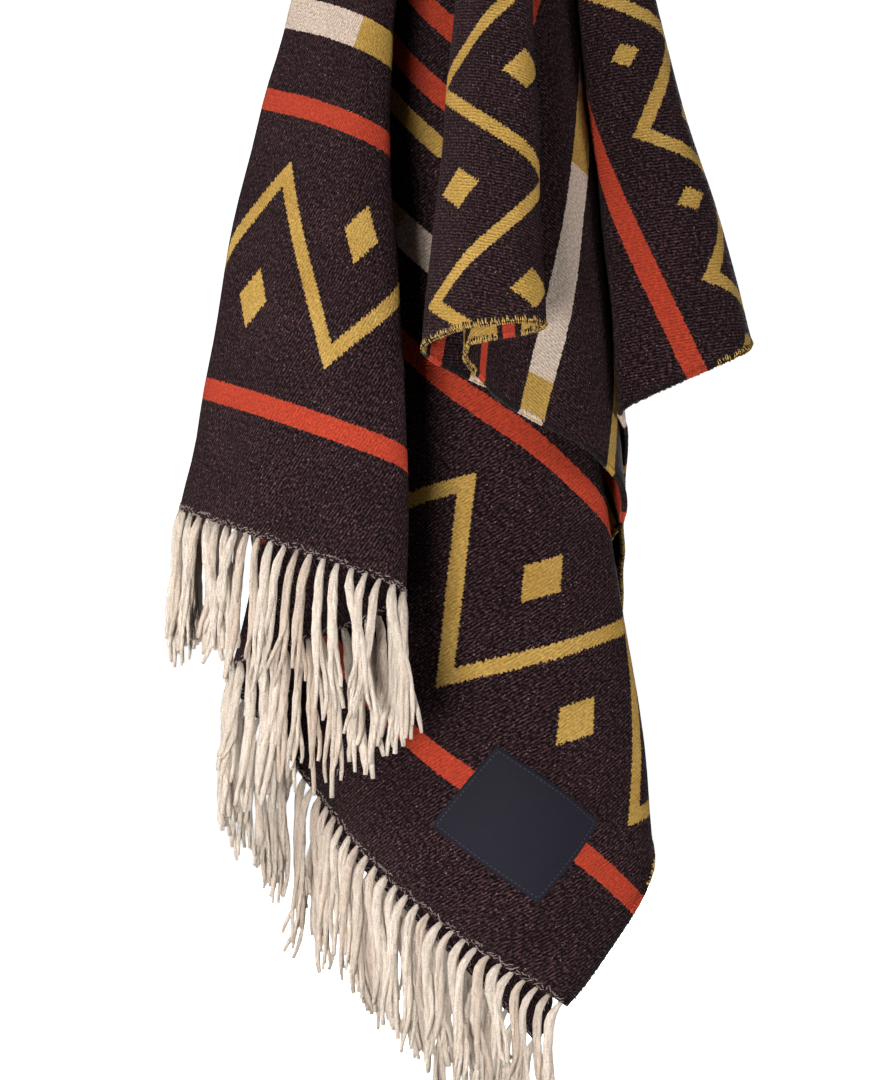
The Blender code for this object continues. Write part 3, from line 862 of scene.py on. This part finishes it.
def build_label_stitches(finish):
    """The running stitch just inside the label's border."""
    points, faces = [], []
    corners = [(-1.0, -1.0), (1.0, -1.0), (1.0, 1.0), (-1.0, 1.0)]
    half = (0.5 * LABEL_LENGTH - LABEL_SEAM, 0.5 * LABEL_HEIGHT - LABEL_SEAM)
    places, ways = [], []
    for here, there in zip(corners, corners[1:] + corners[:1]):
        start = np.array([here[0] * half[0], here[1] * half[1]])
        end = np.array([there[0] * half[0], there[1] * half[1]])
        count = int(np.linalg.norm(end - start) / LABEL_STITCH_PITCH)
        for step in range(count):
            places.append(start + (end - start) * (step + 0.5) / count)
            ways.append(unit(end - start))
    places, ways = np.array(places), np.array(ways)
    along, across = label_place(places[:, 0] / LABEL_LENGTH, places[:, 1] / LABEL_HEIGHT)
    middle, normal, way_along, way_across = cloth_frame(along, across)
    way_run = way_along + way_across * (LABEL_SLIP_ACROSS / LABEL_LENGTH)
    way_rise = way_across + way_along * (LABEL_SLIP_ALONG / LABEL_HEIGHT)
    base = 0.5 * CLOTH_THICKNESS + ripple(along, across) + LABEL_THICKNESS - LABEL_SEAM_DEPTH
    for place in range(len(along)):
        way = way_run[place] * ways[place, 0] + way_rise[place] * ways[place, 1]
        on_top = middle[place] + normal[place] * (base[place] + LABEL_STITCH_RADIUS * 0.5)
        sunk = normal[place] * LABEL_STITCH_RADIUS * LABEL_STITCH_SINK
        reach = way * LABEL_STITCH_PITCH * LABEL_STITCH_REACH
        path = [on_top - reach - sunk, on_top - reach * 0.5, on_top + reach * 0.5,
                on_top + reach - sunk]
        tube(path, (LABEL_STITCH_RADIUS,) * len(path), LABEL_STITCH_SIDES, 0.0, points, faces,
             normal[place])
    values = np.tile(LABEL_THREAD, (len(points), 1))
    return add_mesh("label_stitches", drift(np.array(points)), faces, {"dye": values}, finish)


# Materials: small node helpers, then one finish for each cloth or yarn

def fill(tree, node, values):
    """Feeds a node's sockets, by name or place, from other sockets or with plain values."""
    for key, value in values.items():
        if isinstance(value, bpy.types.NodeSocket):
            tree.links.new(value, node.inputs[key])
        else:
            node.inputs[key].default_value = value


def math_node(tree, operation, *values):
    """One Math node with its inputs, as a socket."""
    node = tree.nodes.new("ShaderNodeMath")
    node.operation = operation
    fill(tree, node, dict(enumerate(values)))
    return node.outputs[0]


def plus(tree, first, second):
    """The sum of two values."""
    return math_node(tree, "ADD", first, second)


def minus(tree, first, second):
    """The first value less the second."""
    return math_node(tree, "SUBTRACT", first, second)


def times(tree, first, second):
    """Two values multiplied."""
    return math_node(tree, "MULTIPLY", first, second)


def joined(tree, x, y, z):
    """Three values as one vector."""
    node = tree.nodes.new("ShaderNodeCombineXYZ")
    fill(tree, node, {0: x, 1: y, 2: z})
    return node.outputs[0]


def attribute_parts(tree, name):
    """An attribute of the mesh, as a vector and its three parts."""
    source = tree.nodes.new("ShaderNodeAttribute")
    source.attribute_name = name
    parts = tree.nodes.new("ShaderNodeSeparateXYZ")
    tree.links.new(source.outputs["Vector"], parts.inputs[0])
    return source.outputs["Vector"], parts.outputs


def noise(tree, vector, scale, detail=2.0, roughness=0.5):
    """A noise texture's value."""
    node = tree.nodes.new("ShaderNodeTexNoise")
    fill(tree, node, {"Vector": vector, "Scale": scale, "Detail": detail,
                      "Roughness": roughness})
    return node.outputs["Fac"]


def ranged(tree, value, low, high, to_low=0.0, to_high=1.0):
    """A value mapped from one range to another, and held inside it."""
    node = tree.nodes.new("ShaderNodeMapRange")
    fill(tree, node, {"Value": value, "From Min": low, "From Max": high,
                      "To Min": to_low, "To Max": to_high})
    return node.outputs["Result"]


def mixed(tree, share, first, second, blend="MIX"):
    """Two colours mixed. Each is a socket or a plain colour."""
    node = tree.nodes.new("ShaderNodeMix")
    node.data_type = "RGBA"
    node.blend_type = blend
    first, second = ((*colour, 1.0) if isinstance(colour, tuple) else colour
                     for colour in (first, second))
    fill(tree, node, {0: share, 6: first, 7: second})
    return node.outputs[2]


def shaded(tree, colour, level):
    """A colour made lighter or darker by a value."""
    return mixed(tree, 1.0, colour, joined(tree, level, level, level), "MULTIPLY")


def bumped(tree, height, strength, distance):
    """A bump that follows a height."""
    node = tree.nodes.new("ShaderNodeBump")
    fill(tree, node, {"Strength": strength, "Distance": distance, "Height": height})
    return node.outputs["Normal"]


def waves(tree, place, pitch, sway=0.0):
    """Even waves across a place, from -1 to 1."""
    return math_node(tree, "SINE", math_node(tree, "MULTIPLY_ADD", place, math.tau / pitch, sway))


def new_finish(name, roughness, sheen, sheen_tint):
    """An empty cloth finish: its tree and its shader."""
    finish = bpy.data.materials.new(name)
    finish.use_nodes = True
    tree = finish.node_tree
    shader = tree.nodes["Principled BSDF"]
    fill(tree, shader, {"Roughness": roughness, "Specular IOR Level": CLOTH_SPECULAR,
                        "Sheen Weight": sheen, "Sheen Roughness": SHEEN_ROUGHNESS,
                        "Sheen Tint": (*sheen_tint, 1.0)})
    return finish, tree, shader


def any_of(tree, masks):
    """1 where any of the masks is 1."""
    total = masks[0]
    for mask in masks[1:]:
        total = math_node(tree, "MAXIMUM", total, mask)
    return total


def stripes(tree, across, rows):
    """A mask of straight stripes: each row is a middle and a half width."""
    return any_of(tree, [math_node(tree, "COMPARE", across, middle, half)
                         for middle, half in rows])


def lozenge(tree, along, across, half_along, half_across):
    """How far out a place is in a lozenge: 1 on its outline, from a middle of 0."""
    first = math_node(tree, "DIVIDE", math_node(tree, "ABSOLUTE", along), half_along)
    second = math_node(tree, "DIVIDE", math_node(tree, "ABSOLUTE", across), half_across)
    return plus(tree, first, second)


def figure_mask(tree, along, across):
    """A zigzag line along each band, with a small solid lozenge in every bay."""
    masks = []
    for band in BANDS:
        off = minus(tree, across, band.middle)
        inside = math_node(tree, "COMPARE", off, 0.0, band.half)
        shifted = plus(tree, along, band.shift)
        wave = math_node(tree, "PINGPONG", shifted, 0.5 * band.pitch)
        zigzag = math_node(tree, "MULTIPLY_ADD", wave, 4.0 * band.rise / band.pitch, -band.rise)
        shapes = [math_node(tree, "COMPARE", off, zigzag, band.line)]
        for phase, bay in ((0.0, -band.bay), (0.5 * band.pitch, band.bay)):
            turned = math_node(tree, "WRAP", plus(tree, shifted, phase), band.pitch, 0.0)
            near = minus(tree, turned, 0.5 * band.pitch)
            spot = lozenge(tree, near, minus(tree, off, bay), band.spot_along, band.spot_across)
            shapes.append(math_node(tree, "LESS_THAN", spot, 1.0))
        masks.append(times(tree, any_of(tree, shapes), inside))
    return any_of(tree, masks)


def woven_wool():
    """The dark ground with its stripes and figures, twill lines, fuzz and pale flecks."""
    finish, tree, shader = new_finish("woven_wool", WOOL_ROUGHNESS, WOOL_SHEEN, WOOL_SHEEN_TINT)
    flat, parts = attribute_parts(tree, "flat")
    along, across, side = parts
    wander = times(tree, minus(tree, noise(tree, flat, WANDER_SCALE), 0.5), WANDER)
    loose_along = plus(tree, along, wander)
    loose_across = plus(tree, across, wander)
    step_along = math_node(tree, "SNAP", loose_along, WEAVE_STEP)
    step_across = math_node(tree, "SNAP", loose_across, WEAVE_STEP)
    figures = figure_mask(tree, step_along, step_across)
    front = math_node(tree, "GREATER_THAN", side, 0.0)
    in_band = stripes(tree, step_across, [(band.middle, band.half) for band in BANDS])
    turned = minus(tree, in_band, figures)
    back_figures = times(tree, turned, minus(tree, 1.0, front))
    front_figures = times(tree, figures, front)
    mustard = plus(tree, front_figures, back_figures)
    mustard = math_node(tree, "MAXIMUM", mustard, stripes(tree, loose_across, MUSTARD_STRIPES))
    orange = stripes(tree, loose_across, ORANGE_STRIPES)
    cream = stripes(tree, loose_across, CREAM_STRIPES)
    in_block = math_node(tree, "WRAP", plus(tree, step_along, BLOCK_SHIFT), BLOCK_PITCH, 0.0)
    block = math_node(tree, "LESS_THAN", in_block, BLOCK_LENGTH)

    patches = ranged(tree, noise(tree, flat, PATCH_SCALE, detail=3.0), *PATCH_RANGE)
    ground = mixed(tree, patches, DARK_GROUND, LIGHT_GROUND)
    mustard_yarn = mixed(tree, patches, MUSTARD_DEEP, MUSTARD_PALE)
    cream_yarn = mixed(tree, block, CREAM, mustard_yarn)
    dyed_yarn = mixed(tree, cream, mustard_yarn, cream_yarn)
    dyed_yarn = mixed(tree, orange, dyed_yarn, ORANGE)
    dyed = any_of(tree, [mustard, cream, orange])

    sway = times(tree, noise(tree, flat, SWAY_SCALE), TWILL_SWAY)
    ribs = plus(tree, times(tree, along, TWILL_ALONG), times(tree, across, TWILL_ACROSS))
    courses = minus(tree, times(tree, across, TWILL_ALONG), times(tree, along, TWILL_ACROSS))
    rib = waves(tree, ribs, TWILL_PITCH, sway)
    yarn = waves(tree, across, YARN_PITCH, sway)
    weave = plus(tree, times(tree, rib, RIB_SHARE), times(tree, yarn, YARN_SHARE))
    grain = joined(tree, ribs, times(tree, courses, GRAIN_DRAW), 0.0)
    fuzz = ranged(tree, noise(tree, grain, FUZZ_SCALE, roughness=0.7), *FUZZ_RANGE)
    height = plus(tree, weave, fuzz)
    ground_shade = math_node(tree, "POWER", ranged(tree, height, *WEAVE_RANGE), GROUND_POWER)
    ground = mixed(tree, ground_shade, mixed(tree, 1.0, ground, GROUND_HOLLOW, "MULTIPLY"),
                   mixed(tree, 1.0, ground, GROUND_CREST, "MULTIPLY"))
    dyed_yarn = shaded(tree, dyed_yarn, ranged(tree, height, *WEAVE_RANGE, *DYED_LEVELS))
    fleck = ranged(tree, noise(tree, flat, FLECK_SCALE, detail=0.0), *FLECK_RANGE)
    fleck = times(tree, fleck, FLECK_SHARE)
    ground = mixed(tree, fleck, ground, FLECK)
    colour = mixed(tree, dyed, ground, dyed_yarn)
    fill(tree, shader, {"Base Color": colour, "Normal": bumped(tree, height, *WOOL_BUMP),
                        "Roughness": ranged(tree, fuzz, 0.0, 1.0, *WOOL_ROUGHNESSES)})
    return finish


def soft_yarn(name, deep, pale):
    """Undyed fringe yarn: long soft fibres, fuzz and painted shade that darkens it near the root.
    """
    finish, tree, shader = new_finish(name, YARN_ROUGHNESS, YARN_SHEEN, YARN_SHEEN_TINT)
    _, parts = attribute_parts(tree, "strand")
    run, ply, tint = parts
    place = tree.nodes.new("ShaderNodeTexCoord").outputs["Object"]
    apart = tree.nodes.new("ShaderNodeSeparateXYZ")
    tree.links.new(place, apart.inputs[0])
    low = times(tree, apart.outputs[2], FIBRE_DRAW)
    drawn = joined(tree, apart.outputs[0], apart.outputs[1], low)
    fibre = ranged(tree, noise(tree, drawn, FIBRE_SCALE, detail=3.0, roughness=0.65), *YARN_RANGE)
    fuzz = ranged(tree, noise(tree, place, YARN_FUZZ_SCALE, roughness=0.7), *YARN_RANGE)
    height = plus(tree, times(tree, fibre, 0.5), times(tree, fuzz, 0.5))
    colour = mixed(tree, height, deep, pale)
    shade = mixed(tree, ranged(tree, tint, *TINT_RANGE), TAN_SHADE, PALE_SHADE)
    colour = mixed(tree, 1.0, colour, shade, "MULTIPLY")
    # Each ply's own tone, times a painted shade that darkens the strand near its root
    level = times(tree, ranged(tree, ply, *PLY_RANGE, *PLY_LEVELS),
                  ranged(tree, run, *PAINTED_ROOT_SHADE_REACH, *PAINTED_ROOT_SHADE_LEVELS))
    colour = shaded(tree, colour, level)
    fill(tree, shader, {"Base Color": colour, "Normal": bumped(tree, height, *YARN_BUMP)})
    return finish


def dyed_thread(name, roughness):
    """Thread in the colour that the mesh gives it, with its own fine fibres."""
    finish, tree, shader = new_finish(name, roughness, THREAD_SHEEN, THREAD_SHEEN_TINT)
    dye, _ = attribute_parts(tree, "dye")
    place = tree.nodes.new("ShaderNodeTexCoord").outputs["Object"]
    fibre = noise(tree, place, THREAD_FIBRE_SCALE, detail=1.0)
    colour = shaded(tree, dye, ranged(tree, fibre, *THREAD_RANGE, *THREAD_LEVELS))
    fill(tree, shader, {"Base Color": colour, "Normal": bumped(tree, fibre, *THREAD_BUMP)})
    return finish


def label_cloth(name, low, high):
    """A fine navy satin weave, plain from edge to edge."""
    finish, tree, shader = new_finish(name, LABEL_ROUGHNESS, LABEL_SHEEN, LABEL_SHEEN_TINT)
    flat, parts = attribute_parts(tree, "flat")
    along, across, _ = parts
    lines = waves(tree, across, SATIN_PITCH)
    cross = waves(tree, along, SATIN_CROSS_PITCH)
    weave = plus(tree, times(tree, lines, SATIN_SHARE), times(tree, cross, SATIN_CROSS_SHARE))
    height = plus(tree, weave, noise(tree, flat, SATIN_FUZZ_SCALE))
    colour = mixed(tree, ranged(tree, height, 0.0, 1.0), low, high)
    fill(tree, shader, {"Base Color": colour, "Normal": bumped(tree, height, *LABEL_BUMP),
                        "Roughness": ranged(tree, height, 0.0, 1.0, *LABEL_ROUGHNESSES)})
    return finish


# The studio's lamps, stage and camera

def area_light(name, place, target, size, power, colour):
    """A soft rectangular lamp aimed at a point."""
    lamp = bpy.data.lights.new(name, "AREA")
    lamp.shape = "SQUARE"
    lamp.size = size
    lamp.energy = power
    lamp.color = colour
    holder = placed(name, lamp)
    holder.location = place
    aim = Vector(target) - Vector(place)
    holder.rotation_euler = aim.to_track_quat("-Z", "Y").to_euler()


def plain_stage(name, corners, faces, glow):
    """A white stage piece that the camera sees and that lights nothing."""
    finish = bpy.data.materials.new(name)
    finish.use_nodes = True
    shader = finish.node_tree.nodes["Principled BSDF"]
    fill(finish.node_tree, shader, {
        "Base Color": (*STAGE_WHITE, 1.0), "Roughness": STAGE_ROUGHNESS,
        "Specular IOR Level": 0.0, "Emission Color": WHITE, "Emission Strength": glow})
    mesh = bpy.data.meshes.new(name)
    mesh.from_pydata(corners, [], faces)
    mesh.materials.append(finish)
    piece = placed(name, mesh)
    piece.visible_diffuse = False
    piece.visible_glossy = False
    piece.visible_shadow = False


def build_studio():
    """A pale floor, soft lamps, a grey sky for the fill light and the camera."""
    ring = [(math.cos(turn), math.sin(turn)) for turn in
            np.linspace(0.0, math.tau, STAGE_SIDES, endpoint=False)]
    low = [(x * STAGE_REACH, y * STAGE_REACH, FLOOR_HEIGHT) for x, y in ring]
    high = [(x * STAGE_REACH, y * STAGE_REACH, STAGE_REACH) for x, y in ring]
    plain_stage("studio_floor", low, [tuple(range(STAGE_SIDES))], FLOOR_GLOW)
    walls = [(side, (side + 1) % STAGE_SIDES, (side + 1) % STAGE_SIDES + STAGE_SIDES,
              side + STAGE_SIDES) for side in range(STAGE_SIDES)]
    plain_stage("studio_wall", low + high, walls, WALL_GLOW)
    world = bpy.data.worlds.new("studio")
    world.use_nodes = True
    sky = world.node_tree.nodes["Background"]
    fill(world.node_tree, sky, {"Color": WHITE, "Strength": WORLD_STRENGTH})
    bpy.context.scene.world = world
    for lamp in LAMPS:
        area_light(*lamp)

    camera = bpy.data.cameras.new("camera")
    camera.sensor_width = SENSOR
    camera.lens = SENSOR * (CAMERA_DISTANCE - CAMERA_PLANE) / VIEW_HEIGHT
    camera.clip_end = CLIP_END
    holder = placed("camera", camera)
    holder.location = (CAMERA_RIGHT, -CAMERA_DISTANCE, CAMERA_HEIGHT)
    holder.rotation_euler = (math.radians(90.0), 0.0, 0.0)
    bpy.context.scene.camera = holder
    bpy.context.scene.view_settings.view_transform = "Standard"


def build_throw():
    """Every piece of the throw, over its CAD solids."""
    wool = woven_wool()
    fringe_yarn = soft_yarn("fringe_yarn", FRINGE_DEEP, FRINGE_PALE)
    root_yarn = soft_yarn("root_yarn", ROOT_DEEP, ROOT_PALE)
    sheet = build_sheet(wool)
    front = build_tassels("front_tassels", "front_fringe", FRONT_FRINGE_DISTANCE, 1.0,
                          FRONT_SEED, fringe_yarn)
    back = build_tassels("back_tassels", "back_fringe", BACK_FRINGE_DISTANCE, -1.0,
                         BACK_SEED, fringe_yarn)
    roots = build_root_stitches(root_yarn)
    loops = build_edge_loops(dyed_thread("edge_thread", EDGE_ROUGHNESS))
    label = build_label(label_cloth("label_satin", LABEL_DEEP, LABEL_PALE))
    seam = build_label_stitches(dyed_thread("label_thread", LABEL_THREAD_ROUGHNESS))


build_throw()
build_studio()
